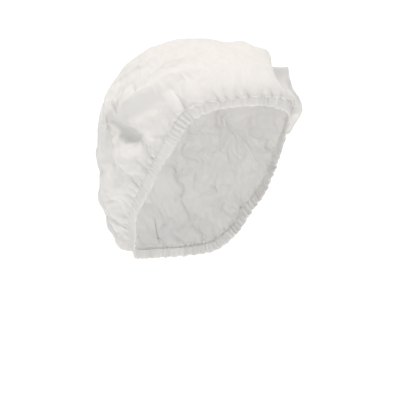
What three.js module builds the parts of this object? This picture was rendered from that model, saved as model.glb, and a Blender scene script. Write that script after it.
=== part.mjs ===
// A disposable bouffant hairnet of thin nonwoven cloth, in the form that it has when it is worn.
// Millimetres, +Z up. The face looks along -Y and the wearer's right side is at -X.
// The origin is the top of the head, which the inside of the crown rests on.
import * as THREE from "three";

// The rounded form that the puffed cloth follows, measured from a centre inside the head.
const CENTRE = new THREE.Vector3(0, 2, -94.5);
const REACH_FRONT = 108;
const REACH_BACK = 96;
const REACH_SIDE = 85;
const RISE = 96;
const DROP = 121;
const PLAN_ROUNDNESS = 2.1;
const TOP_ROUNDNESS = 2.15;
const NAPE_ROUNDNESS = 3.2;

// The crown is a gathered disc of cloth. Its middle lies behind the top of the head. From CURL_START of the
// way to the hem it curls in under the puff to the seam.
const DISC_TILT = 38;
const COLUMNS = 80;
const DOME_ROWS = 16;
const CURL_ROWS = 6;
const ROW_CROWDING = 1.25;
const CURL_START = 0.84;
const CLOTH = 1;

// Gathers stand in and out on every second column and fade towards the top.
const GATHER_RISE = 1.6;
const GATHER_START = 0.5;

// The hem is one strip folded double over the elastic. Its inner layer ends free.
const BAND_WIDTH = 10;
const INNER_LAYER = 8.6;
const CHANNEL = 1.4;
const HEAD_GAP = 0.6;
const SEAM_GAP = 0.35;
const PLEATS_PER_COLUMN = 2;
const PLEAT_RISE = 0.75;
const ELASTIC_WIDTH = 3;
const ELASTIC_THICKNESS = 0.7;

// The welded end of the gathered strip stands out as a flat tab at the front left.
const TAB_AZIMUTH = -38;
const TAB_TOP = -25;
const TAB_BOTTOM = -46.5;
const TAB_REACH_TOP = 86.5;
const TAB_REACH_BOTTOM = 92;
const TAB_THICKNESS = 1.6;
const TAB_HALF_ANGLE = 0.6;
const TAB_ROWS = 6;

// The free edge of the hem. Each row gives the angle from the front, the reach from the upright axis, the
// height on the wearer's right and left, and how far the crown puffs out over the hem.
const HEM = [
  { azimuth: 0, reach: 97, right: -59.5, left: -59.5, puff: 13 },
  { azimuth: 15, reach: 94.5, right: -60, left: -63.5, puff: 13 },
  { azimuth: 32, reach: 88, right: -65, left: -69.5, puff: 15 },
  { azimuth: 42, reach: 84, right: -73.5, left: -78.5, puff: 14 },
  { azimuth: 52, reach: 80, right: -96.5, left: -96.5, puff: 7 },
  { azimuth: 64, reach: 75.5, right: -120.5, left: -119.5, puff: 6 },
  { azimuth: 77, reach: 72, right: -145.5, left: -144.5, puff: 6 },
  { azimuth: 90, reach: 68, right: -162.5, left: -162.5, puff: 5 },
  { azimuth: 100, reach: 61.5, right: -182.5, left: -182.5, puff: 9 },
  { azimuth: 120, reach: 56, right: -200.5, left: -200.5, puff: 13 },
  { azimuth: 150, reach: 56, right: -206.5, left: -206.5, puff: 13 },
  { azimuth: 180, reach: 57, right: -207.5, left: -207.5, puff: 13 },
];

// Puffs (rise above zero) and creases (below zero) of the crown. azimuth and polar place the middle of each,
// where polar is the angle from straight up. turn is 0 for a fold that runs down the head and 90 for one that
// runs round it.
const FOLDS = [
  { name: "brow roll", azimuth: 4, polar: 56, turn: 90, length: 50, width: 20, rise: 9 },
  { name: "left brow puff", azimuth: -50, polar: 76, turn: 90, length: 36, width: 14, rise: 13 },
  { name: "left top puff", azimuth: -44, polar: 34, turn: 40, length: 30, width: 22, rise: 8 },
  { name: "top notch", azimuth: -50, polar: 17, turn: 10, length: 30, width: 7, rise: -3 },
  { name: "front notch", azimuth: -50, polar: 51, turn: 90, length: 20, width: 9, rise: -8 },
  { name: "upper ridge", azimuth: 63, polar: 55, turn: 110, length: 36, width: 8, rise: 4 },
  { name: "upper hollow", azimuth: 72, polar: 69, turn: 100, length: 26, width: 9, rise: -4 },
  { name: "temple fold", azimuth: 90, polar: 84, turn: 62, length: 22, width: 8, rise: -9 },
  { name: "temple facet", azimuth: 57, polar: 86, turn: 108, length: 18, width: 8, rise: 4 },
  { name: "temple crease", azimuth: 70, polar: 93, turn: 90, length: 18, width: 6, rise: -5 },
  { name: "back hollow", azimuth: 108, polar: 99, turn: 20, length: 12, width: 8, rise: -5 },
  { name: "nape crease", azimuth: 97, polar: 121, turn: 84, length: 22, width: 6, rise: -4 },
  { name: "left side fold", azimuth: -95, polar: 88, turn: 120, length: 30, width: 9, rise: -7 },
  { name: "left side ridge", azimuth: -88, polar: 68, turn: 80, length: 34, width: 9, rise: 4 },
  { name: "back crease", azimuth: 178, polar: 100, turn: 70, length: 34, width: 9, rise: -5 },
  { name: "left nape crease", azimuth: -125, polar: 124, turn: 80, length: 26, width: 8, rise: -4.5 },
];

// How deep a fold reaches into the head, which keeps it off the far side.
const FOLD_DEPTH = 50;

const radians = THREE.MathUtils.degToRad;

// The level direction at an angle from the front, positive towards the wearer's right.
function level(azimuth) {
  const a = radians(azimuth);
  return new THREE.Vector3(-Math.sin(a), -Math.cos(a), 0);
}

// How far the puffed form reaches from its centre along a unit direction.
function domeReach(d) {
  const across = Math.abs(d.x) / REACH_SIDE;
  const along = Math.abs(d.y) / (d.y < 0 ? REACH_FRONT : REACH_BACK);
  const plan = (across ** PLAN_ROUNDNESS + along ** PLAN_ROUNDNESS) ** (1 / PLAN_ROUNDNESS);
  const upright = Math.abs(d.z) / (d.z > 0 ? RISE : DROP);
  const roundness = d.z > 0 ? TOP_ROUNDNESS : NAPE_ROUNDNESS;
  return (plan ** roundness + upright ** roundness) ** (-1 / roundness);
}

function domePoint(d) {
  return d.clone().multiplyScalar(domeReach(d)).add(CENTRE);
}

// Each fold with its middle on the form and the two directions that lie along and across it.
const folds = FOLDS.map((fold) => {
  const polar = radians(fold.polar);
  const out = level(fold.azimuth).multiplyScalar(Math.sin(polar));
  out.z = Math.cos(polar);
  const round = new THREE.Vector3(0, 0, 1).cross(out).normalize();
  const down = round.clone().cross(out);
  const turn = radians(fold.turn);
  const along = down.clone().multiplyScalar(Math.cos(turn)).addScaledVector(round, Math.sin(turn));
  return { ...fold, middle: domePoint(out), out, along, across: along.clone().cross(out) };
});

// The height that the folds add at a point of the form.
function foldRise(point) {
  return folds.reduce((sum, fold) => {
    const v = point.clone().sub(fold.middle);
    const far =
      (v.dot(fold.along) / fold.length) ** 2 +
      (v.dot(fold.across) / fold.width) ** 2 +
      (v.dot(fold.out) / FOLD_DEPTH) ** 2;
    return sum + fold.rise * Math.exp(-far);
  }, 0);
}

// The puffed form with its folds, along a unit direction from the centre.
function crownPoint(d) {
  const point = domePoint(d);
  return point.addScaledVector(d, foldRise(point));
}

// The hem's edge as one closed curve, from the front round the wearer's right side.
const rightEdge = HEM.map((row) => level(row.azimuth).multiplyScalar(row.reach).setZ(row.right));
const leftEdge = HEM.slice(1, -1)
  .reverse()
  .map((row) => level(-row.azimuth).multiplyScalar(row.reach).setZ(row.left));
const hemCurve = new THREE.CatmullRomCurve3([...rightEdge, ...leftEdge], true, "centripetal");

// How far the crown puffs out over the hem at an edge point.
function puffAt(edge) {
  const azimuth = THREE.MathUtils.radToDeg(Math.atan2(Math.abs(edge.x), -edge.y));
  const after = Math.max(1, HEM.findIndex((row) => row.azimuth >= azimuth - 1e-6));
  const [a, b] = [HEM[after - 1], HEM[after]];
  return THREE.MathUtils.mapLinear(azimuth, a.azimuth, b.azimuth, a.puff, b.puff);
}

// A place on the hem: its edge point, the way out of the head, and the way along the cloth towards the edge.
function hemAt(share) {
  const edge = hemCurve.getPointAt(share % 1);
  const along = hemCurve.getTangentAt(share % 1);
  const sideways = new THREE.Vector3(edge.x / REACH_SIDE ** 2, edge.y / REACH_FRONT ** 2, 0).normalize();
  const down = sideways.cross(along).normalize();
  return { edge, down, out: along.clone().cross(down) };
}

// A point beside the hem's edge, out from the head and up the cloth from the edge.
function besideEdge({ edge, out, down }, outward, upward) {
  return edge.clone().addScaledVector(out, outward).addScaledVector(down, -upward);
}

// How far the hem's outer layer lies from the edge line, and the direction of the disc's middle.
const outerLayer = HEAD_GAP + CLOTH + CHANNEL + CLOTH / 2;
const discMiddle = new THREE.Vector3(0, Math.sin(radians(DISC_TILT)), Math.cos(radians(DISC_TILT)));

// The direction that lies a share of the way from the disc's middle to another direction.
function towards(direction, share) {
  const angle = discMiddle.angleTo(direction);
  const a = Math.sin((1 - share) * angle) / Math.sin(angle);
  const b = Math.sin(share * angle) / Math.sin(angle);
  return discMiddle.clone().multiplyScalar(a).addScaledVector(direction, b).normalize();
}

// One column of the crown's middle surface, from the first ring round the disc's middle to the seam. Its
// gather stands out or in, more and more towards the seam.
function crownColumn(k) {
  const place = hemAt(k / COLUMNS);
  const puff = puffAt(place.edge);
  const seam = besideEdge(place, outerLayer, BAND_WIDTH + SEAM_GAP + CLOTH * 0.8);
  const ending = besideEdge(place, outerLayer + puff * 0.7, BAND_WIDTH).sub(CENTRE).normalize();
  const start = crownPoint(towards(ending, CURL_START));
  const before = crownPoint(towards(ending, CURL_START - 0.02));
  const heading = start.clone().sub(before).normalize();
  const curl = new THREE.CubicBezierCurve3(
    start,
    start.clone().addScaledVector(heading, start.distanceTo(seam) * 0.35),
    seam.clone().addScaledVector(place.out, puff * 1.3).addScaledVector(place.down, puff * 0.5),
    seam,
  );
  const points = [];
  for (let j = 1; j <= DOME_ROWS; j += 1) {
    const share = CURL_START * (1 - (1 - j / DOME_ROWS) ** ROW_CROWDING);
    points.push(crownPoint(towards(ending, share)));
  }
  for (let j = 1; j <= CURL_ROWS; j += 1) points.push(curl.getPoint(j / CURL_ROWS));
  const side = k % 2 === 0 ? 1 : -1;
  const uneven = 0.75 + 0.25 * Math.sin(k * 2.3) + 0.2 * Math.sin(k * 0.9);
  return points.map((point, j) => {
    const share = (j + 1) / points.length;
    const grown = THREE.MathUtils.smoothstep(share, GATHER_START, 0.95);
    const away = point.clone().sub(CENTRE).normalize().lerp(place.out, grown).normalize();
    return point.addScaledVector(away, side * uneven * grown * GATHER_RISE * (share === 1 ? 0.5 : 1));
  });
}

// A closed mesh from its corner points and faces. Each face is a list of corner numbers, seen from outside.
function solid(name, points, faces, look) {
  const geometry = new THREE.BufferGeometry().setFromPoints(points);
  const corners = faces.flatMap((face) => face.slice(2).flatMap((last, i) => [face[0], face[i + 1], last]));
  geometry.setIndex(corners);
  geometry.computeVertexNormals();
  const mesh = new THREE.Mesh(geometry, new THREE.MeshStandardMaterial(look));
  mesh.name = name;
  return mesh;
}

// The crown: the middle surface with half a cloth's thickness set off to each side.
function crown() {
  const columns = Array.from({ length: COLUMNS }, (_, k) => crownColumn(k));
  const rows = columns[0].length;
  const at = (k, j) => columns[(k + COLUMNS) % COLUMNS][j];
  const top = crownPoint(discMiddle);
  const sheet = [top];
  const normals = [discMiddle.clone()];
  for (let j = 0; j < rows; j += 1) {
    for (let k = 0; k < COLUMNS; k += 1) {
      const onward = at(k, Math.min(j + 1, rows - 1)).clone().sub(j > 0 ? at(k, j - 1) : top);
      const sideways = at(k + 1, j).clone().sub(at(k - 1, j));
      sheet.push(at(k, j));
      normals.push(sideways.cross(onward).normalize());
    }
  }
  const faced = (distance) => sheet.map((p, i) => p.clone().addScaledVector(normals[i], distance));
  const points = [...faced(CLOTH / 2), ...faced(-CLOTH / 2)];
  const inner = sheet.length;
  const spot = (k, j) => 1 + j * COLUMNS + (k % COLUMNS);
  const faces = [];
  for (let k = 0; k < COLUMNS; k += 1) {
    faces.push([0, spot(k + 1, 0), spot(k, 0)]);
    faces.push([inner, inner + spot(k, 0), inner + spot(k + 1, 0)]);
    for (let j = 0; j < rows - 1; j += 1) {
      const face = [spot(k, j), spot(k + 1, j), spot(k + 1, j + 1), spot(k, j + 1)];
      faces.push(face);
      faces.push(face.map((i) => inner + i).reverse());
    }
    const [a, b] = [spot(k, rows - 1), spot(k + 1, rows - 1)];
    faces.push([a, b, inner + b, inner + a]);
  }
  return solid("crown", points, faces, { color: 0xf4f4f1, roughness: 0.85 });
}

// A ring that runs round the hem with one section. Each section point is [outward, upward].
function hemRing(name, section, look) {
  const count = COLUMNS * PLEATS_PER_COLUMN;
  const points = [];
  for (let k = 0; k < count; k += 1) {
    const place = hemAt(k / count);
    const pleat = (k % 2 === 0 ? 1 : -1) * PLEAT_RISE * (0.7 + 0.3 * Math.sin(k * 1.7));
    for (const [outward, upward] of section) points.push(besideEdge(place, outward + pleat, upward));
  }
  const faces = [];
  for (let k = 0; k < count; k += 1) {
    const [here, next] = [k * section.length, ((k + 1) % count) * section.length];
    section.forEach((_, i) => {
      const j = (i + 1) % section.length;
      faces.push([here + i, next + i, next + j, here + j]);
    });
  }
  return solid(name, points, faces, look);
}

// The hem's folded strip, as a hairpin section with the channel for the elastic inside.
function hemCasing() {
  const inside = HEAD_GAP;
  const channelIn = inside + CLOTH;
  const channelOut = channelIn + CHANNEL;
  const outside = channelOut + CLOTH;
  const section = [
    [outside, BAND_WIDTH],
    [outside, CLOTH * 1.2],
    [(inside + outside) / 2, 0],
    [inside, CLOTH * 1.2],
    [inside, INNER_LAYER],
    [channelIn, INNER_LAYER],
    [channelIn, CLOTH * 2],
    [channelOut, CLOTH * 2],
    [channelOut, BAND_WIDTH],
  ];
  return hemRing("hem_casing", section, { color: 0xeff0ef, roughness: 0.85 });
}

// The elastic lies free in the bottom of the channel.
function elasticBand() {
  const low = CLOTH * 2 + SEAM_GAP;
  const near = HEAD_GAP + CLOTH + (CHANNEL - ELASTIC_THICKNESS) / 2;
  const section = [
    [near + ELASTIC_THICKNESS, low + ELASTIC_WIDTH],
    [near + ELASTIC_THICKNESS, low],
    [near, low],
    [near, low + ELASTIC_WIDTH],
  ];
  return hemRing("elastic_band", section, { color: 0xf2f1ec, roughness: 0.7 });
}

// The foot of the tab at a height and an angle: just clear of the crown's outer face.
function tabFoot(azimuth, height) {
  const way = level(azimuth);
  const surface = (polar) => {
    const d = way.clone().multiplyScalar(Math.sin(radians(polar))).setZ(Math.cos(radians(polar)));
    return crownPoint(d);
  };
  let [low, high] = [0, 89];
  for (let step = 0; step < 30; step += 1) {
    const middle = (low + high) / 2;
    if (surface(middle).z > height) low = middle;
    else high = middle;
  }
  const downhill = surface(low + 0.5).sub(surface(low - 0.5)).normalize();
  const round = way.clone().cross(new THREE.Vector3(0, 0, 1));
  return surface(low).addScaledVector(round.cross(downhill).normalize(), CLOTH / 2 + SEAM_GAP * 2);
}

// The end tab is a flat flap that stands on the crown with its square corner up and out.
function endTab() {
  const way = level(TAB_AZIMUTH);
  const thick = way.clone().cross(new THREE.Vector3(0, 0, 1)).multiplyScalar(TAB_THICKNESS / 2);
  const points = [];
  for (let j = 0; j <= TAB_ROWS; j += 1) {
    const share = j / TAB_ROWS;
    const height = THREE.MathUtils.lerp(TAB_TOP, TAB_BOTTOM, share);
    const feet = [TAB_HALF_ANGLE, -TAB_HALF_ANGLE].map((turn) => tabFoot(TAB_AZIMUTH + turn, height));
    const reach = THREE.MathUtils.lerp(TAB_REACH_TOP, TAB_REACH_BOTTOM, share);
    const widest = Math.max(reach, ...feet.map((foot) => foot.dot(way) + 1.5));
    const tip = way.clone().multiplyScalar(widest).setZ(height);
    points.push(feet[0], tip.clone().add(thick), tip.clone().sub(thick), feet[1]);
  }
  const faces = [[0, 1, 2, 3]];
  for (let j = 0; j < TAB_ROWS; j += 1) {
    for (let i = 0; i < 4; i += 1) {
      const n = (i + 1) % 4;
      faces.push([j * 4 + i, j * 4 + 4 + i, j * 4 + 4 + n, j * 4 + n]);
    }
  }
  faces.push([3, 2, 1, 0].map((i) => TAB_ROWS * 4 + i));
  return solid("end_tab", points, faces, { color: 0xf1f1ee, roughness: 0.85 });
}

const group = new THREE.Group();
group.name = "disposable_hairnet";
group.add(crown(), hemCasing(), elasticBand(), endTab());

export default group;
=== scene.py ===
# %% [markdown]
# # A disposable hairnet of thin white nonwoven cloth
# The cap is a disc of papery cloth, gathered into an elastic hem. In its worn form it is puffed out: the
# cloth is smooth on top, breaks into creases at the sides and runs into fine pleats at the hem. The
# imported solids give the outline, and each visible piece is made again here as thin cloth. All lengths in
# the tables are millimetres.

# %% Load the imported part
import math
import random

import bpy
import numpy as np
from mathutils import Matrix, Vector, noise


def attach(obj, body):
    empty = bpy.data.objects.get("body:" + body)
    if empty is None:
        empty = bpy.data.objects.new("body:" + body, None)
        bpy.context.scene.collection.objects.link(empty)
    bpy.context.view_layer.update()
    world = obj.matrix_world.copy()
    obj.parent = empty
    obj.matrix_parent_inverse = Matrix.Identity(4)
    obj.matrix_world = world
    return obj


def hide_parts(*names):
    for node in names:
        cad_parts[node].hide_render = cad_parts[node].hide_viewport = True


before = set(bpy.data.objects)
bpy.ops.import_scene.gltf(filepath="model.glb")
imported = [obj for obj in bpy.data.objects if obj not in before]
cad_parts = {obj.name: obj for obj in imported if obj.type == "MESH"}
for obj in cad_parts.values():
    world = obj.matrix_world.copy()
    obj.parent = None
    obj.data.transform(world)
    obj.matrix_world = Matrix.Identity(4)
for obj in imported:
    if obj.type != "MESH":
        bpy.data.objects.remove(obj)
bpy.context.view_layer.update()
MM = 0.001
print("nodes:", sorted(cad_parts))

# %% [markdown]
# ## The form that the cloth follows
# A puffed cap is a rounded form with named puffs and creases. The same numbers shape the solids, so the
# thin cloth lies where they are. The form is found along directions from a centre inside the cap, which
# lets every fold be placed by two angles. A second table corrects the outline where the solids are too
# coarse for it.

# %% The rounded form and its folds
CENTRE = np.array([0, 2, -94.5])
REACH_FRONT, REACH_BACK, REACH_SIDE = 108, 96, 85
RISE, DROP = 96, 121
PLAN_ROUNDNESS, TOP_ROUNDNESS, NAPE_ROUNDNESS = 2.1, 2.15, 3.2
FOLD_DEPTH = 50

# name, azimuth from the front, polar angle from straight up, turn from running down, length, width, rise
FOLDS = [
    ("brow roll", 4, 56, 90, 50, 20, 9),
    ("left brow puff", -50, 76, 90, 36, 14, 13),
    ("left top puff", -44, 34, 40, 30, 22, 8),
    ("top notch", -50, 17, 10, 30, 7, -3),
    ("front notch", -50, 51, 90, 20, 9, -8),
    ("upper ridge", 63, 55, 110, 36, 8, 4),
    ("upper hollow", 72, 69, 100, 26, 9, -4),
    ("temple fold", 90, 84, 62, 22, 8, -9),
    ("temple facet", 57, 86, 108, 18, 8, 4),
    ("temple crease", 70, 93, 90, 18, 6, -5),
    ("back hollow", 108, 99, 20, 12, 8, -5),
    ("nape crease", 97, 121, 84, 22, 6, -4),
    ("left side fold", -95, 88, 120, 30, 9, -7),
    ("left side ridge", -88, 68, 80, 34, 9, 4),
    ("back crease", 178, 100, 70, 34, 9, -5),
    ("left nape crease", -125, 124, 80, 26, 8, -4.5),
]

# Corrections of the outline that only the thin cloth shows, in the same columns.
TRIMS = [
    ("top front dip", -50, 18, 90, 30, 9, -4.5),
    ("left top dip", -50, 31, 90, 18, 6, -3),
    ("left top corner", -50, 39, 90, 16, 7, 3.5),
    ("beside the tab", -42, 54, 90, 12, 8, -3),
    ("before the tab", -26, 59, 90, 22, 12, -13),
    ("under the tab", -30, 68, 90, 26, 9, -6),
    ("side facet", 69, 81, 100, 24, 9, -5.5),
    ("temple stripe", 54, 89, 108, 12, 5, 2.5),
    ("back top", 125, 50, 90, 45, 24, -1),
    ("side dent", 103, 101, 20, 7, 5, -6),
    ("back middle", 122, 100, 90, 40, 16, 1.5),
    ("back low", 128, 128, 90, 36, 14, -1.5),
    ("nape tuck-in", 120, 142, 90, 34, 16, -6),
]


def unit(v):
    """The direction of each row of v."""
    return v / np.maximum(np.linalg.norm(v, axis=-1, keepdims=True), 1e-12)


def dot(a, b):
    return (a * b).sum(axis=-1)


def level(azimuth):
    """The level direction at an angle from the front, positive towards -X, the cap's right."""
    a = np.radians(azimuth)
    return np.stack([-np.sin(a), -np.cos(a), np.zeros_like(a)], axis=-1)


def dome(d):
    """The point of the rounded form along each unit direction."""
    across = np.abs(d[:, 0]) / REACH_SIDE
    along = np.abs(d[:, 1]) / np.where(d[:, 1] < 0, REACH_FRONT, REACH_BACK)
    plan = (across**PLAN_ROUNDNESS + along**PLAN_ROUNDNESS) ** (1 / PLAN_ROUNDNESS)
    upright = np.abs(d[:, 2]) / np.where(d[:, 2] > 0, RISE, DROP)
    power = np.where(d[:, 2] > 0, TOP_ROUNDNESS, NAPE_ROUNDNESS)
    reach = (plan**power + upright**power) ** (-1 / power)
    return CENTRE + d * reach[:, None]


def way_out(azimuth, polar):
    """The direction at an angle from the front and an angle from straight up."""
    out = level(float(azimuth)) * math.sin(math.radians(polar))
    out[2] = math.cos(math.radians(polar))
    return out


def seen_from_fold(points, azimuth, polar, turn):
    """How far points lie along, across and out from the middle of a fold on the rounded form."""
    out = way_out(azimuth, polar)
    side = unit(np.cross([0, 0, 1], out))
    down = np.cross(side, out)
    t = math.radians(turn)
    run = down * math.cos(t) + side * math.sin(t)
    v = points - dome(out[None])[0]
    return v @ run, v @ np.cross(run, out), v @ out


def fold_rise(points, folds):
    """The height that a table of folds adds at each point."""
    total = np.zeros(len(points))
    for _, azimuth, polar, turn, length, width, rise in folds:
        along, across, deep = seen_from_fold(points, azimuth, polar, turn)
        far = (along / length) ** 2 + (across / width) ** 2 + (deep / FOLD_DEPTH) ** 2
        total += rise * np.exp(-far)
    return total


def crown_form(d):
    """The puffed form with its folds."""
    points = dome(d)
    return points + d * fold_rise(points, FOLDS)[:, None]


# %% [markdown]
# ## The hem's line
# The hem runs over the brow, down the sides and under the nape. A smooth closed curve through a short
# table gives its free edge. At each place the curve also gives the way out of the cap and the way along
# the cloth towards the edge, so that the hem and the gathers can be laid out beside it.

# %% The hem's edge as a curve
# azimuth from the front, reach from the upright axis, height right, height left, puff of the crown over it
HEM = [
    (0, 97, -59.5, -59.5, 13),
    (15, 94.5, -60, -63.5, 13),
    (32, 88, -65, -69.5, 15),
    (42, 84, -73.5, -78.5, 14),
    (52, 80, -96.5, -96.5, 7),
    (64, 75.5, -120.5, -119.5, 6),
    (77, 72, -145.5, -144.5, 6),
    (90, 68, -162.5, -162.5, 5),
    (100, 61.5, -182.5, -182.5, 9),
    (120, 56, -200.5, -200.5, 13),
    (150, 56, -206.5, -206.5, 13),
    (180, 57, -207.5, -207.5, 13),
]
STEPS = 60
SHARE_STEP = 0.002


def smooth_loop(corners):
    """A smooth closed curve through the corners: each point's share of the way round, points, length."""
    points = []
    for i in range(len(corners)):
        p0, p1, p2, p3 = (corners[(i + k) % len(corners)] for k in (-1, 0, 1, 2))
        d0, d1, d2 = (np.linalg.norm(b - a) ** 0.5 for a, b in ((p0, p1), (p1, p2), (p2, p3)))
        t1 = ((p1 - p0) / d0 - (p2 - p0) / (d0 + d1) + (p2 - p1) / d1) * d1
        t2 = ((p2 - p1) / d1 - (p3 - p1) / (d1 + d2) + (p3 - p2) / d2) * d1
        t = np.linspace(0, 1, STEPS, endpoint=False)[:, None]
        start = (2 * t**3 - 3 * t**2 + 1) * p1 + (t**3 - 2 * t**2 + t) * t1
        points.append(start + (3 * t**2 - 2 * t**3) * p2 + (t**3 - t**2) * t2)
    points = np.concatenate([*points, points[0][:1]])
    run = np.concatenate([[0], np.cumsum(np.linalg.norm(np.diff(points, axis=0), axis=1))])
    return run / run[-1], points, run[-1]


right = [level(float(a)) * reach + np.array([0, 0, zr]) for a, reach, zr, _, _ in HEM]
left = [level(-float(a)) * reach + np.array([0, 0, zl]) for a, reach, _, zl, _ in HEM[1:-1]]
loop_share, loop_points, HEM_LENGTH = smooth_loop(right + left[::-1])
print(f"hem length {HEM_LENGTH:.0f} mm")


def at_share(share):
    """The point of the hem's edge at each share round it."""
    share = np.mod(share, 1.0)
    return np.stack([np.interp(share, loop_share, loop_points[:, i]) for i in range(3)], axis=-1)


def hem_azimuth(share):
    """The angle from the front of each place round the hem, from -180 to 180."""
    edge = at_share(share)
    return np.degrees(np.arctan2(-edge[:, 0], -edge[:, 1]))


def hem_place(share):
    """At each share round the hem: its edge point, the way out, the way down to the edge, and the puff."""
    edge = at_share(share)
    along = unit(at_share(share + SHARE_STEP) - at_share(share - SHARE_STEP))
    flat = unit(edge * np.array([1 / REACH_SIDE**2, 1 / REACH_FRONT**2, 0]))
    down = unit(np.cross(flat, along))
    puff = np.interp(np.abs(hem_azimuth(share)), [row[0] for row in HEM], [row[4] for row in HEM])
    return edge, np.cross(along, down), down, puff


# %% [markdown]
# ## Gathers
# Where a wide disc is drawn into a short hem, the cloth stands in many small pleats at the seam. Away
# from it the pleats join two by two into wider and softer gathers, until the cloth is smooth. Each family
# has half as many gathers as the one before it, so waves on one shared phase give the same joining. A
# gather's ridge is round and its valley is pinched, which the absolute value of a sine gives.

# %% Gather waves
PLEATS = 136
VARIETY = 0.26
random.seed(11)
drift = [(m, random.uniform(0, 2 * math.pi), 1.9 / m**0.55) for m in range(2, 24)]
vary = [(m, random.uniform(0, 2 * math.pi)) for m in (5, 9, 14, 23, 31)]


def phase(share):
    """The shared phase of the pleats, uneven round the hem but closed."""
    total = 2 * math.pi * PLEATS * share
    for m, start, size in drift:
        total = total + size * np.sin(2 * math.pi * m * share + start)
    return total


def uneven(share, offset):
    """A size that changes round the hem. An offset gives each family of gathers its own."""
    total = np.ones_like(share)
    for m, start in vary:
        total = total + VARIETY * np.sin(2 * math.pi * m * share + start * (1 + offset))
    return np.clip(total, 0.3, 1.7)


def ridge(angle):
    """Round ridges and pinched valleys, from -1 to 1."""
    return 2 * np.abs(np.sin(angle / 2)) - 1


# azimuth, size of the hem's pleats: smaller where the hem is stretched, over the brow and at the right
PLEAT_SIZES = [
    (-118, 0.75),
    (-100, 0.9),
    (-52, 1.4),
    (-40, 1),
    (0, 0.75),
    (38, 0.5),
    (52, 0.3),
    (98, 0.38),
    (118, 0.9),
]


def hem_wave(share):
    """The pleats of the hem."""
    size = np.interp(hem_azimuth(share), *zip(*PLEAT_SIZES))
    return ridge(phase(share)) * uneven(share, 0) * size


def hump(distance, middle, width):
    """A smooth bump from 0 to 1 and back."""
    return np.exp(-(((distance - middle) / width) ** 2))


PLEAT_HEIGHT = 0.75
# pleats per gather, height, distance from the seam, width of the zone
GATHERS = [(2, 1.2, 9, 8), (4, 1.3, 22, 15), (8, 1.1, 46, 24)]


def gather_height(share, away, bend):
    """How far the gathers stand out, at a share round the hem and a distance up from the seam."""
    free = 1 - hump(away, 0, 5)
    total = PLEAT_HEIGHT * hem_wave(share) * hump(away, 0, 7)
    for i, (joined, height, middle, width) in enumerate(GATHERS, 1):
        angle = phase(share) / joined + bend * free * (0.6 + 0.5 * i)
        total += height * uneven(share, i) * hump(away, middle, width) * free * ridge(angle)
    return total


# %% [markdown]
# ## Crinkles
# Nonwoven cloth creases like soft paper: into flat facets with straight, sharp edges between them. Waves
# that rise and fall in straight lines, laid over one another in chance directions and each let through
# only in patches, give such facets. Smooth noise would look like rubber instead.


# %% Paper creases
def patches(points, size, seed):
    """Smooth noise from about -1 to 1 at each point."""
    shift = Vector((seed * 7.3, seed * 3.1, seed * 5.7))
    return np.array([noise.noise(Vector(p) / size + shift) for p in points]) * 1.6


def crease_height(points, pitch, count, seed):
    """Facets with sharp edges, about pitch millimetres across."""
    random.seed(seed)
    total = np.zeros(len(points))
    for k in range(count):
        way = unit(np.array([random.gauss(0, 1) for _ in range(3)]))
        wander = patches(points, pitch * 2.2, seed + k)
        across = points @ way / (pitch * random.uniform(0.8, 1.4)) + random.random() + 0.5 * wander
        saw = np.abs(2 * (across - np.floor(across + 0.5)))
        let_through = np.clip(0.15 + patches(points, pitch * 2.8, seed + 50 + k), 0, 1)
        total += (saw - 0.5) * let_through
    return total


# %% [markdown]
# ## Pinched creases
# A few creases are sharp: the cloth above hangs over, tucks in and comes out again as a ledge that
# catches the light. A crease like that is steep on one side, gentle on the other and bowed, with a crisp
# line where the sides meet. A depth below zero stands out instead and gives a sharp ridge.

# %% Pinched creases by name
PINCH_BOW = 0.35
# name, azimuth, polar angle, turn, length, width above the line, width below it, depth
PINCHES = [
    ("temple tuck", 89, 84, 60, 15, 4, 9, 5.0),
    ("temple ledge", 70, 92.5, 92, 14, 3, 4, 2.6),
    ("temple crescent", 61, 87, 112, 10, 5, 3, 2.8),
    ("back crinkle one", 101, 66, 52, 8, 3, 5, 4.0),
    ("back crinkle two", 101, 72, 56, 9, 3, 5, 4.0),
    ("back crinkle three", 106, 77, 56, 9, 3, 5, 4.0),
    ("back crinkle four", 113, 77, 20, 6, 2.5, 4, 3.0),
    ("back ridge one", 104.5, 66, 52, 8, 3, 3, -2.0),
    ("back ridge two", 104.5, 73, 56, 8, 3, 3, -2.0),
    ("back ridge three", 109.5, 78, 56, 8, 3, 3, -1.8),
    ("upper stroke", 86, 58, 45, 6, 2.5, 4, 2.6),
    ("side crinkle", 93, 104, 50, 10, 3, 4, 1.8),
    ("nape tuck one", 96, 121, 88, 14, 3, 4, 1.2),
    ("nape tuck two", 90, 126, 96, 12, 3, 4, 0.9),
    ("upper crease", 62, 56, 108, 24, 7, 3, 1.8),
    ("brow crease", 36, 74, 100, 12, 3, 3, 1.4),
    ("top crease", -30, 38, 30, 18, 3, 3, 1.2),
    ("front crease", -8, 50, 20, 16, 3, 4, 1.2),
    ("left tuck", -92, 88, 118, 18, 4, 8, 4.0),
    ("left crease", -70, 82, 80, 12, 3, 4, 2.0),
    ("left nape tuck", -120, 118, 84, 16, 3, 5, 2.4),
    ("back tuck", 176, 100, 72, 20, 4, 7, 3.0),
    ("back crease", 150, 88, 100, 14, 3, 4, 1.8),
    ("back top crease", -160, 62, 60, 14, 3, 3, 1.2),
    ("right back crease", 132, 108, 70, 14, 3, 5, 2.2),
]


def pinch_height(points):
    """How far the pinched creases press the cloth in at each point."""
    total = np.zeros(len(points))
    for _, azimuth, polar, turn, length, above, below, depth in PINCHES:
        run, across, deep = seen_from_fold(points, azimuth, polar, turn)
        along = run / length
        over = across + PINCH_BOW * length * along**2
        shape = np.where(over < 0, np.exp(over / above), np.exp(-over / below))
        total -= depth * shape * np.exp(-(along**2) - (deep / FOLD_DEPTH) ** 2)
    return total


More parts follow.
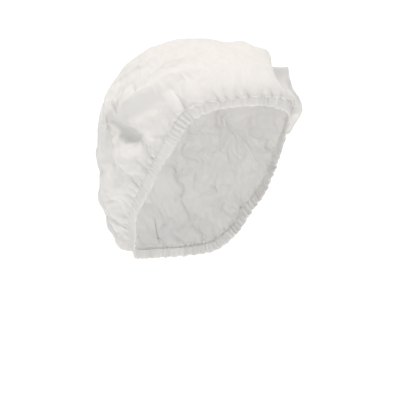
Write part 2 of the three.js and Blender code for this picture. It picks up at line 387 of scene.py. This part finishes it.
# %% [markdown]
# ## Smooth and busy places
# The cloth is stretched smooth over the top and over a few facets, and crumpled at the sides and the
# back. A short table says where each is, and how much smoother or busier the cloth is there.

# %% Zones of the crown
# name, azimuth, polar angle, radius, gathers, crinkles (1 leaves them as they are)
ZONES = [
    ("top", 150, 12, 85, 0.1, 0.05),
    ("brow", 5, 50, 60, 0.5, 0.1),
    ("left top", -48, 34, 45, 0.5, 0.1),
    ("side facet", 66, 68, 30, 0.25, 0.1),
    ("temple", 62, 86, 20, 0.4, 0.3),
    ("back crinkles", 100, 68, 26, 0.5, 2.2),
    ("behind the fold", 94, 98, 22, 0.7, 1.1),
    ("outline at the back", 130, 85, 40, 0.5, 0.4),
    ("nape", 98, 128, 36, 0.4, 0.35),
]


def zone_factor(points, column):
    """The product of all zones' factors at each point, for gathers (0) or crinkles (1)."""
    total = np.ones(len(points))
    for _, azimuth, polar, radius, *factors in ZONES:
        middle = dome(way_out(azimuth, polar)[None])[0]
        near = np.exp(-((np.linalg.norm(points - middle, axis=1) / radius) ** 2))
        total *= 1 + (factors[column] - 1) * near
    return total


# %% [markdown]
# ## The crown cloth
# The crown was cut as a flat disc, so its mesh is a disc too: rings of triangles, six more in each ring,
# which keeps them all about as large. Every point has a share round the hem and a share of the way from
# the disc's middle to the seam, and these place it on the puffed form. Over the brow and at the nape the
# cloth hangs a little over the hem. The flat disc stays as the UV map, so the pattern of the cloth
# follows it.

# %% Lay out the crown
RINGS = 104
DISC_TILT = 38
# The last part of the cloth curls round the puff and back to the seam. CURL_START is where that begins on
# the form and CURL_SHARE is where it begins in the cloth, both as a share of the way to the seam.
CURL_START = 0.84
CURL_SHARE = 0.79
CURL_STEP, CURL_LEAD = 0.02, 0.35
PUFF_OUT, SIDE_PUFF = 0.7, 0.55
WAY_TO_SEAM = 205
OUTER_LAYER = 3.5
BAND_WIDTH = 10
SEAM_GAP = 0.1
TAB_AZIMUTH = -38
TAB_FLATNESS, TAB_SPREAD = 0.65, 16
BROW_HANG = 0.6
disc_middle = np.array([0, math.sin(math.radians(DISC_TILT)), math.cos(math.radians(DISC_TILT))])


def towards(ending, share):
    """The direction that lies a share of the way from the disc's middle to an ending."""
    angle = np.arccos(np.clip(ending @ disc_middle, -1, 1))
    a = np.sin((1 - share) * angle) / np.sin(angle)
    b = np.sin(share * angle) / np.sin(angle)
    return unit(disc_middle * a[:, None] + ending * b[:, None])


def crown_place(share, way):
    """The puffed form at a share round the hem and a share of the way to the seam."""
    edge, out, down, puff = hem_place(share)
    azimuth = hem_azimuth(share)
    puff = puff * (1 - TAB_FLATNESS * hump(azimuth, TAB_AZIMUTH, TAB_SPREAD))
    azimuth = np.abs(azimuth)
    puff *= np.interp(azimuth, [44, 56, 98, 112], [1, SIDE_PUFF, SIDE_PUFF, 1])
    seam = edge + out * (OUTER_LAYER + SEAM_GAP) - down * (BAND_WIDTH + SEAM_GAP)
    ending = unit(edge + out * (OUTER_LAYER + puff * PUFF_OUT)[:, None] - down * BAND_WIDTH - CENTRE)
    on_dome = crown_form(towards(ending, CURL_START * np.clip(way / CURL_SHARE, 0, 1)))
    start = crown_form(towards(ending, np.full(len(share), CURL_START)))
    before = crown_form(towards(ending, np.full(len(share), CURL_START - CURL_STEP)))
    span = np.linalg.norm(seam - start, axis=1, keepdims=True)
    over = np.interp(azimuth, [38, 55, 100, 118], [1, 0, 0, 1])
    bend1 = start + unit(start - before) * span * CURL_LEAD
    hang = 1.5 * over - 1 + BROW_HANG * np.interp(azimuth, [30, 46], [1, 0])
    bend2 = seam + out * (puff * (PUFF_OUT + 0.6 * over))[:, None] + down * (puff * hang)[:, None]
    t = np.clip((way - CURL_SHARE) / (1 - CURL_SHARE), 0, 1)[:, None]
    curl = (1 - t) ** 3 * start + 3 * (1 - t) ** 2 * t * bend1
    curl = curl + 3 * (1 - t) * t**2 * bend2 + t**3 * seam
    return np.where((way < CURL_SHARE)[:, None], on_dome, curl)


def disc_mesh(rings):
    """Shares round and outward for each point of a disc, and its triangles."""
    round_, way, faces = [0.0], [0.0], []
    first = [0] + [1 + 3 * i * (i - 1) for i in range(1, rings + 1)]
    for i in range(1, rings + 1):
        round_ += [k / (6 * i) for k in range(6 * i)]
        way += [i / rings] * (6 * i)
    for i in range(rings):
        for sector in range(6):
            for j in range(i + 1):
                inner = first[i] + (sector * i + j) % max(6 * i, 1)
                outer = [first[i + 1] + (sector * (i + 1) + j + k) % (6 * (i + 1)) for k in (0, 1)]
                faces.append((inner, outer[1], outer[0]))
                if j < i:
                    faces.append((inner, first[i] + (sector * i + j + 1) % (6 * i), outer[1]))
    return np.array(round_), np.array(way), faces


crown_round, crown_way, crown_faces = disc_mesh(RINGS)
form = crown_place(crown_round, crown_way)
ROUND_STEP, WAY_STEP = 0.0015, 0.006
sideways = crown_place(crown_round + ROUND_STEP, crown_way)
sideways -= crown_place(crown_round - ROUND_STEP, crown_way)
onward = crown_place(crown_round, np.minimum(crown_way + WAY_STEP, 1))
onward -= crown_place(crown_round, np.maximum(crown_way - WAY_STEP, 0))
outward = unit(np.cross(sideways, onward))
outward = np.where((crown_way < 0.03)[:, None], unit(form - CENTRE), outward)

# pitch of the creases, count of waves, seed, height, the largest factor that a zone may give them
CREASES = [(28, 4, 21, 2.0, 1), (13, 4, 35, 1.1, 9), (6.5, 3, 47, 0.45, 9)]

# how far up from the seam the creases grow to full height, and the pleats keep theirs
CREASE_FADE, PLEAT_ZONE = 12, 14
BEND_SIZE, BEND_SEED = 30, 3

away = (1 - crown_way) * WAY_TO_SEAM
creased = zone_factor(form, 1) * np.clip(away / CREASE_FADE, 0.1, 1)
bend = patches(form, BEND_SIZE, BEND_SEED)
near_seam = hump(away, 0, PLEAT_ZONE)
height = gather_height(crown_round, away, bend) * (near_seam + (1 - near_seam) * zone_factor(form, 0))
for pitch, count, seed, size, most in CREASES:
    height += crease_height(form, pitch, count, seed) * size * np.minimum(creased, most)
start_shape = form + outward * height[:, None]
print("crown points", len(start_shape), "triangles", len(crown_faces))

# %% [markdown]
# ## Build a mesh from points and faces
# Cloth that follows a table is made from its points directly. Each piece gets its place in its mesh, so
# its object stays at the origin, and its flat layout as a UV map. Solidify then gives the sheet its
# thickness, and the edges of the cut rims are marked sharp, so that they don't look rounded.


# %% A helper that makes a sheet
def sheet_piece(name, points_mm, faces, flat):
    """A mesh piece from points in millimetres, faces, and each point's place in the flat cloth."""
    mesh = bpy.data.meshes.new(name)
    mesh.from_pydata((points_mm * MM).tolist(), [], faces)
    corners = np.zeros(len(mesh.loops), dtype=np.int32)
    mesh.loops.foreach_get("vertex_index", corners)
    layer = mesh.uv_layers.new(name="flat_cloth")
    layer.data.foreach_set("uv", flat[corners].astype(np.float32).ravel())
    mesh.update()
    mesh.shade_smooth()
    piece = bpy.data.objects.new(name, mesh)
    bpy.context.scene.collection.objects.link(piece)
    return piece


def apply_modifier(piece, kind, **settings):
    """Adds a modifier, sets it and applies it."""
    bpy.ops.object.select_all(action="DESELECT")
    bpy.context.view_layer.objects.active = piece
    piece.select_set(True)
    modifier = piece.modifiers.new(kind.title(), kind)
    for key, value in settings.items():
        setattr(modifier, key, value)
    bpy.ops.object.modifier_apply(modifier=modifier.name)


def thicken(piece, thickness_mm, **settings):
    """Gives a sheet its thickness and keeps its cut rims crisp."""
    mesh = piece.data
    points, faces = len(mesh.vertices), len(mesh.polygons)
    apply_modifier(piece, "SOLIDIFY", thickness=thickness_mm * MM, offset=0, **settings)
    for rim in mesh.polygons[2 * faces :]:
        for loop in rim.loop_indices:
            edge = mesh.edges[mesh.loops[loop].edge_index]
            if (edge.vertices[0] < points) == (edge.vertices[1] < points):
                edge.use_edge_sharp = True


# the disc's width in metres
FLAT_DISC = 0.40
turned = 2 * math.pi * crown_round
crown_flat = 0.5 + 0.5 * np.stack([crown_way * np.cos(turned), crown_way * np.sin(turned)], axis=-1)
crown = sheet_piece("crown_cloth", start_shape, crown_faces, crown_flat)

# %% [markdown]
# ## Let the cloth settle
# A cloth simulation turns drawn waves into believable ones: the cloth is told that it is a little larger
# than the form, so it has to buckle, while the seam is held and a soft hold keeps the rest near its
# place. Only the wrinkles are kept. Nearly all of the slow sinking of the whole sheet is left out, and no
# point may slide or rise by more than a few millimetres. The pinched creases and the outline's
# corrections come last, so that they aren't evened out.

# %% Settle the crown
SETTLE_FRAMES = 20
SLIDE_LIMIT = 3
WRINKLE_LIMIT, WRINKLE_SOFTNESS = 3.0, 3.6
SINK_KEPT = (-0.7, 0.3)
SMOOTHINGS = 120
SEAM_HOLD, SOFT_HOLD = 1, 0.15
SEAM_STRIP = 2.5
MOST_CREASED = 1.6
PINCH_FADE, TRIM_FADE = 8, 25
CROWN_THICKNESS = 0.35


def neighbours_mean(values, pairs, times):
    """Smooths one value per point by taking the mean of its neighbours again and again."""
    count = np.bincount(pairs.ravel(), minlength=len(values)) + 1.0
    for _ in range(times):
        total = values + np.bincount(pairs[:, 0], values[pairs[:, 1]], len(values))
        total += np.bincount(pairs[:, 1], values[pairs[:, 0]], len(values))
        values = total / count
    return values


def settle(piece, hold, slack, start_mm, outwards):
    """Runs a short cloth simulation and keeps its wrinkles, but not its sinking, in the mesh."""
    scene = bpy.context.scene
    for name, weights in (("hold", hold), ("tight", 1 - slack)):
        group = piece.vertex_groups.new(name=name)
        for i, weight in enumerate(weights):
            group.add([i], float(weight), "REPLACE")
    cloth = piece.modifiers.new("Settle", "CLOTH")
    s = cloth.settings
    s.quality = 6
    s.mass = 0.02
    s.tension_stiffness = 15
    s.compression_stiffness = 15
    s.shear_stiffness = 8
    s.bending_stiffness = 0.02
    s.air_damping = 3
    s.vertex_group_shrink = "tight"
    s.shrink_min = -0.18
    s.shrink_max = -0.01
    s.vertex_group_mass = "hold"
    s.pin_stiffness = 1.0
    s.effector_weights.gravity = 0.15
    cloth.collision_settings.use_collision = False
    cloth.collision_settings.use_self_collision = False
    cloth.point_cache.frame_start = 1
    cloth.point_cache.frame_end = SETTLE_FRAMES
    for number in range(1, SETTLE_FRAMES + 1):
        scene.frame_set(number)
    result = piece.evaluated_get(bpy.context.evaluated_depsgraph_get()).to_mesh()
    found = np.empty(len(result.vertices) * 3)
    result.vertices.foreach_get("co", found)
    pairs = np.empty(len(result.edges) * 2, dtype=np.int64)
    result.edges.foreach_get("vertices", pairs)
    pairs = pairs.reshape(-1, 2)
    piece.modifiers.remove(cloth)
    piece.vertex_groups.clear()
    scene.frame_set(1)
    move = found.reshape(-1, 3) / MM - start_mm
    rise = dot(move, outwards)
    sink = neighbours_mean(rise, pairs, SMOOTHINGS)
    slide = move - outwards * rise[:, None]
    slide *= np.minimum(1, SLIDE_LIMIT / np.maximum(np.linalg.norm(slide, axis=1), 1e-9))[:, None]
    wrinkle = WRINKLE_LIMIT * np.tanh((rise - sink) / WRINKLE_SOFTNESS)
    moved = start_mm + slide + outwards * (wrinkle + np.clip(sink, *SINK_KEPT))[:, None]
    piece.data.vertices.foreach_set("co", (moved * MM).ravel())
    piece.data.update()
    print(f"{piece.name}: sinking {sink.mean():.2f} mm, wrinkles up to {np.abs(wrinkle).max():.1f} mm")
    return moved


settled = start_shape
hold = np.where(away < SEAM_STRIP, SEAM_HOLD, SOFT_HOLD)
slack = np.clip(creased / MOST_CREASED, 0, 1)
settled = settle(crown, hold, slack, start_shape, outward)
# both fade out before the seam, where the crown meets the hem
late = pinch_height(form) * np.clip(away / PINCH_FADE, 0, 1)
late += fold_rise(form, TRIMS) * np.clip(away / TRIM_FADE, 0, 1)
pinched = settled + outward * late[:, None]
crown.data.vertices.foreach_set("co", (pinched * MM).ravel())
crown.data.update()
thicken(crown, CROWN_THICKNESS)
print("crown faces", len(crown.data.polygons))

# %% [markdown]
# ## The hem
# One strip is folded double over the elastic. Its pleats use the same phase as the gathers above it, so
# they run on into each other, and its folded edge is a little uneven. The section starts inside the
# crown's seam, goes down to the edge, round the fold and up again inside.

# %% Pleat the hem
COLUMNS = PLEATS * 8
HEM_THICKNESS = 0.3
# out from the hem's line, up from the edge, how much of the pleat's height it takes
SECTION = [
    (2.6, 12.4, 0.9),
    (3.1, 11.0, 1.0),
    (3.4, 9.6, 1.0),
    (3.4, 7.6, 0.95),
    (3.3, 5.6, 0.85),
    (3.3, 3.6, 0.85),
    (3.2, 1.8, 1.0),
    (2.7, 0.5, 1.1),
    (2.2, 0.0, 1.15),
    (1.6, 0.6, 1.1),
    (1.3, 2.2, 0.9),
    (1.2, 4.8, 0.8),
    (1.1, 8.6, 0.6),
]
# how much longer the band is over the brow
BROW_DROP = 2.5
# how uneven the folded edge is, and how far up that fades
RAGGED_EDGE, RAGGED_REACH = 0.5, 4
# the flat strip's length and the width of one row, both in UV units
STRIP_LENGTH, ROW_WIDTH = 3.2, 0.012


def ring_sheet(name, section, pleat_height):
    """A strip round the hem that follows the pleats."""
    share = np.arange(COLUMNS) / COLUMNS
    edge, out, down, _ = hem_place(share)
    wave = hem_wave(share)
    ragged = RAGGED_EDGE * np.sin(phase(share) * 0.5 + 1) * uneven(share, 2)
    ragged -= BROW_DROP * np.interp(np.abs(hem_azimuth(share)), [38, 52], [1, 0])
    points, flat = [], []
    for j, (reach, up, take) in enumerate(section):
        stand = reach + pleat_height * take * wave
        lift = up + ragged * math.exp(-up / RAGGED_REACH)
        points.append(edge + out * stand[:, None] - down * lift[:, None])
        flat.append(np.stack([share * STRIP_LENGTH, np.full(COLUMNS, j * ROW_WIDTH)], axis=-1))
    faces = []
    for j in range(len(section) - 1):
        a, b = j * COLUMNS, (j + 1) * COLUMNS
        for k in range(COLUMNS):
            n = (k + 1) % COLUMNS
            faces.append((a + k, a + n, b + n, b + k))
    return sheet_piece(name, np.concatenate(points), faces, np.concatenate(flat))


hem = ring_sheet("hem_cloth", SECTION, PLEAT_HEIGHT)
thicken(hem, HEM_THICKNESS)
print("hem faces", len(hem.data.polygons))

# %% [markdown]
# ## The elastic
# A narrow flat elastic lies loose in the fold and draws the pleats together. An open tube with one column
# for each column of the hem is a ready-made band: its two rings are set along the fold, and Solidify
# makes it thick.

# %% Lay the elastic in the fold
ELASTIC_WIDTH, ELASTIC_THICKNESS = 3, 0.65
# out from the hem's line, up from the edge, how much of the pleats' height it takes
ELASTIC_OUT, ELASTIC_UP, ELASTIC_TAKE = 2.28, 2.8, 0.8
bpy.ops.object.select_all(action="DESELECT")
bpy.ops.mesh.primitive_cylinder_add(
    vertices=COLUMNS, radius=0.08, depth=ELASTIC_WIDTH * MM, end_fill_type="NOTHING"
)
elastic = bpy.context.active_object
elastic.name = elastic.data.name = "elastic_ring"
share = np.arange(COLUMNS) / COLUMNS
edge, out, down, _ = hem_place(share)
wave = hem_wave(share) * PLEAT_HEIGHT * ELASTIC_TAKE
lower = edge + out * (ELASTIC_OUT + wave)[:, None] - down * ELASTIC_UP
upper = lower - down * ELASTIC_WIDTH
for k in range(COLUMNS):
    elastic.data.vertices[2 * k].co = lower[-k % COLUMNS] * MM
    elastic.data.vertices[2 * k + 1].co = upper[-k % COLUMNS] * MM
elastic.data.update()
elastic.data.shade_smooth()
thicken(elastic, ELASTIC_THICKNESS)
print("elastic faces", len(elastic.data.polygons))

# %% [markdown]
# ## The end tab
# The gathered strip that the cap is folded from ends in a flat flap, where several layers are welded
# together. It stands out at the front left, square above and flared below, and runs down into the hem. A
# grid of points spans it from its foot, which a ray finds on the crown or the hem, to its outer edge.

# %% Shape the end tab
TAB_THIN, TAB_THICK = 0.8, 1.8
TAB_LEAN, TAB_SAG = 4, 0.8
BORDER_STAND, DENT_DEPTH = 0.5, 1.6
FOOT_DEPTH = 0.3
RAY_START = 150
# height, reach of the outer edge from the upright axis
TAB_EDGE = [
    (-24.5, 87),
    (-35, 88.5),
    (-45, 91.5),
    (-50, 95.5),
    (-53.5, 98),
    (-60, 100.5),
    (-66, 101.5),
    (-71, 98.5),
    (-76, 95),
    (-80, 92),
    (-84, 89.5),
    (-87.5, 87),
]
# height, azimuth of the flap: its lower end turns with the hem
TAB_TURN = [(-24.5, TAB_AZIMUTH), (-68, TAB_AZIMUTH), (-87.5, -46.5)]
# where the rays pass under the crown and the hem
HEM_REACH = 85.5


def foot_reach(way, height_mm):
    """How far out the crown or the hem lies in a level direction at a height."""
    start = Vector(way) * RAY_START * MM + Vector((0, 0, height_mm * MM))
    places = [piece.ray_cast(start, Vector(-way))[1] for piece in (crown, hem)]
    reach = max(place.dot(Vector(way)) for place in places) / MM
    return reach if reach > 0 else HEM_REACH


def tab_sheet(rows=64, columns=26):
    """The flap as a sheet of points, with a thick border and a dent."""
    points, flat, borders, faces = [], [], [], []
    depths, reaches = [-h for h, _ in TAB_EDGE], [r for _, r in TAB_EDGE]
    for j in range(rows):
        share = j / (rows - 1)
        z = -depths[0] - (depths[-1] - depths[0]) * share
        way = level(np.interp(-z, [-h for h, _ in TAB_TURN], [a for _, a in TAB_TURN]))
        facing = np.cross(way, [0, 0, 1])
        foot = foot_reach(way, z) - FOOT_DEPTH
        tip = max(np.interp(-z, depths, reaches), foot + 1)
        for i in range(columns):
            t = i / (columns - 1)
            ripple = 0.7 * math.sin(3.1 * t + 10 * share) * t
            ripple += 0.5 * math.sin(30 * share + 2 * t) * t * share
            dent = math.exp(-(((t - 0.72) / 0.2) ** 2) - ((share - 0.3) / 0.1) ** 2)
            border = math.exp(-((share / 0.05) ** 2)) + math.exp(-(((1 - t) / 0.1) ** 2))
            stand = ripple + BORDER_STAND * border - DENT_DEPTH * dent
            stand -= TAB_LEAN * t * max(0, 1 - 2 * share)
            p = way * (foot + (tip - foot) * t) + facing * stand
            p[2] = z - TAB_SAG * math.sin(math.pi * t) * max(0, 1 - 2 * share)
            points.append(p)
            flat.append((0.02 + 0.03 * t, 0.1 * share))
            borders.append(min(1, TAB_THIN / TAB_THICK + 0.8 * border))
    for j in range(rows - 1):
        for i in range(columns - 1):
            a = j * columns + i
            faces.append((a, a + 1, a + columns + 1, a + columns))
    piece = sheet_piece("end_tab_cloth", np.array(points), faces, np.array(flat))
    group = piece.vertex_groups.new(name="border")
    for i, weight in enumerate(borders):
        group.add([i], weight, "REPLACE")
    return piece


tab = tab_sheet()
thicken(tab, TAB_THICK, vertex_group="border")
tab.vertex_groups.clear()

# %% [markdown]
# ## Shader maths as plain expressions
# One small class wraps a socket, so that a mask is written as an expression and its Math nodes appear by
# themselves. Any other node comes from one method.


# %% The shader helper
class Wire:
    """A socket that can be used in expressions."""

    def __init__(self, finish, socket):
        self.finish, self.socket = finish, socket

    def maths(self, operation, a, b=0.0):
        return self.finish.node("ShaderNodeMath", {"operation": operation}, {0: a, 1: b})

    def __add__(self, other):
        return self.maths("ADD", self, other)

    def __sub__(self, other):
        return self.maths("SUBTRACT", self, other)

    def __rsub__(self, other):
        return self.maths("SUBTRACT", other, self)

    def __mul__(self, other):
        return self.maths("MULTIPLY", self, other)

    def sine(self):
        return self.maths("SINE", self)

    def at_least(self, other):
        return self.maths("MAXIMUM", self, other)

    __radd__ = __add__


class Finish:
    """A material under construction."""

    def __init__(self, name):
        self.material = bpy.data.materials.new(name)
        self.material.use_nodes = True
        self.tree = self.material.node_tree
        self.tree.nodes.clear()

    def node(self, kind, settings=None, sockets=None, output=0):
        """Adds a node with its settings, then its sockets' values or links."""
        node = self.tree.nodes.new(kind)
        for key, value in (settings or {}).items():
            setattr(node, key, value)
        for key, value in (sockets or {}).items():
            if isinstance(value, Wire):
                self.tree.links.new(value.socket, node.inputs[key])
            else:
                node.inputs[key].default_value = value
        return Wire(self, node.outputs[output]) if len(node.outputs) else None


# %% [markdown]
# ## Nonwoven cloth
# Spunbonded cloth is a mat of fine white fibres pressed together at a grid of small points. It scatters
# light, and some light comes through from behind. Its fibres lie unevenly, so it has faint clouds, which
# are thicker and whiter or thinner and more see-through. A translucent shader mixed with a matt one gives
# this, the clouds drive the mix, and a bump carries the fibres, a fine crumple and the bond points.

# %% Paint the cloth
WHITE, THIN = (0.90, 0.90, 0.89, 1), (0.82, 0.825, 0.825, 1)
BOND_PITCH = 1.4
# scale, detail and roughness of the clouds, the fibres and the crumple
NOISES = [(0.11, 3.0, 0.6), (1.1, 4.0, 0.7), (0.3, 2.0, 0.5)]


def nonwoven(name, uv_metres, through, white=WHITE, thin=THIN, bonds=1.0, roughness=0.78):
    """Matt white nonwoven cloth that lets a share of the light through. Patterns are in millimetres."""
    f = Finish(name)
    uv = f.node("ShaderNodeTexCoord", output=2)
    spot = f.node("ShaderNodeVectorMath", {"operation": "SCALE"}, {0: uv, "Scale": uv_metres * 1000})
    clouds, fibres, crumple = (
        f.node("ShaderNodeTexNoise", {}, {"Vector": spot, "Scale": s, "Detail": d, "Roughness": r})
        for s, d, r in NOISES
    )
    x = f.node("ShaderNodeSeparateXYZ", {}, {0: spot}, output=0)
    y = f.node("ShaderNodeSeparateXYZ", {}, {0: spot}, output=1)
    turns = 2 * math.pi / BOND_PITCH
    bond = ((x + y) * (turns * 0.5)).sine() * ((x - y) * (turns * 0.5)).sine()
    bond = (bond - 0.45).at_least(0.0) * (1.8 * bonds)
    density = clouds * 0.6 + fibres * 0.4
    colour = f.node("ShaderNodeMix", {"data_type": "RGBA"}, {0: density, 6: thin, 7: white}, output=2)
    relief = fibres * 0.3 + crumple * 1.0 - bond * 0.35
    bump = f.node("ShaderNodeBump", {}, {"Strength": 0.5, "Distance": 0.4 * MM, "Height": relief})
    surface = {"Base Color": colour, "Roughness": roughness, "Specular IOR Level": 0.25, "Normal": bump}
    matt = f.node("ShaderNodeBsdfPrincipled", {}, surface)
    lit_through = f.node("ShaderNodeBsdfTranslucent", {}, {"Color": (0.9, 0.9, 0.9, 1), "Normal": bump})
    share = through + (0.5 - density) * 0.35 + bond * 0.1
    mixed = f.node("ShaderNodeMixShader", {}, {0: share, 1: matt, 2: lit_through})
    f.node("ShaderNodeOutputMaterial", {}, {"Surface": mixed})
    return f.material


# %% [markdown]
# ## Dress the pieces
# The crown's cloth is single and lets the most light through. The hem is double, the flap is welded and a
# little glossier, and the elastic lets hardly any through. The crown's pattern is scaled to its flat size.


# %% Give each piece its cloth
def dress(piece, material, node):
    """Gives a piece its material, hangs it from the root body and hides the imported part it replaces."""
    piece.data.materials.clear()
    piece.data.materials.append(material)
    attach(piece, "root")
    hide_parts(node)


# metres of cloth for one UV unit on the narrow pieces
STRIP_UV = 0.5
ELASTIC_WHITE, ELASTIC_DULL = (0.84, 0.83, 0.80, 1), (0.74, 0.73, 0.70, 1)
dress(crown, nonwoven("nonwoven_cloth", FLAT_DISC, 0.48), "crown")
dress(hem, nonwoven("hem_cloth", STRIP_UV, 0.28), "hem_casing")
woven = nonwoven("elastic", STRIP_UV, 0.1, ELASTIC_WHITE, ELASTIC_DULL, 0.0, 0.6)
dress(elastic, woven, "elastic_band")
dress(tab, nonwoven("welded_cloth", STRIP_UV, 0.4, bonds=0.4, roughness=0.5), "end_tab")

# %% [markdown]
# ## The studio
# A plain pale floor and a pale surround, with one soft light above. The cap is nearly as white as what is
# behind it, so what shapes it is the light's slow change from the bright top to the dimmer sides. The
# surround is brightest at the horizon and dimmer above, and the floor glows faintly and lies well below
# the cap. Both keep the picture's ground white without flooding the cap.

# %% Floor and surround
FLOOR_HEIGHT = -460
bpy.ops.object.select_all(action="DESELECT")
bpy.ops.mesh.primitive_plane_add(size=12, location=(0, 0, FLOOR_HEIGHT * MM))
floor = bpy.context.active_object
floor.name = "studio_floor"
f = Finish("studio_white")
pale = {"Base Color": (0.93, 0.93, 0.93, 1), "Roughness": 1, "Specular IOR Level": 0}
glow = {"Emission Color": (1, 1, 1, 1), "Emission Strength": 0.15}
f.node("ShaderNodeOutputMaterial", {}, {"Surface": f.node("ShaderNodeBsdfPrincipled", {}, pale | glow)})
floor.data.materials.append(f.material)

world = bpy.data.worlds.new("surround")
bpy.context.scene.world = world
world.use_nodes = True
nodes, links = world.node_tree.nodes, world.node_tree.links
upward = nodes.new("ShaderNodeSeparateXYZ")
ramp = nodes.new("ShaderNodeValToRGB")
links.new(nodes.new("ShaderNodeTexCoord").outputs["Generated"], upward.inputs[0])
links.new(upward.outputs["Z"], ramp.inputs[0])
HORIZON, ABOVE = (0.10, (1.2, 1.26, 1.3, 1)), (0.42, (0.2, 0.215, 0.23, 1))
for stop, (position, colour) in zip(ramp.color_ramp.elements, (HORIZON, ABOVE)):
    stop.position, stop.color = position, colour
links.new(ramp.outputs[0], nodes["Background"].inputs["Color"])

# %% The light above
overhead = bpy.data.lights.new("overhead", "SUN")
overhead.energy, overhead.angle, overhead.color = 3.35, math.radians(36), (1.0, 0.91, 0.83)
light = bpy.data.objects.new("overhead", overhead)
light.rotation_euler = Vector((-0.12, -0.1, 1)).to_track_quat("Z", "Y").to_euler()
bpy.context.scene.collection.objects.link(light)

# %% [markdown]
# ## The camera
# The cap is seen from its front right, a little above level, through a long lens.

# %% Camera
VIEW_AZIMUTH, VIEW_ELEVATION = -40, 2.5
AIM_HEIGHT, AIM_SIDE = -149.5, 3.8
# metres from the aim, and metres that the picture spans there
DISTANCE = 1.7
FRAME_WIDTH = 0.376

a, e = math.radians(VIEW_AZIMUTH), math.radians(VIEW_ELEVATION)
back = Vector((math.sin(a) * math.cos(e), -math.cos(a) * math.cos(e), math.sin(e)))
aim = Vector((math.cos(a), math.sin(a), 0)) * AIM_SIDE * MM + Vector((0, 0, AIM_HEIGHT * MM))
camera_data = bpy.data.cameras.new("camera")
camera_data.lens = camera_data.sensor_width * DISTANCE / FRAME_WIDTH
camera = bpy.data.objects.new("camera", camera_data)
camera.location = aim + back * DISTANCE
camera.rotation_euler = back.to_track_quat("Z", "Y").to_euler()
bpy.context.scene.collection.objects.link(camera)
bpy.context.scene.camera = camera
bpy.context.scene.view_settings.view_transform = "Standard"
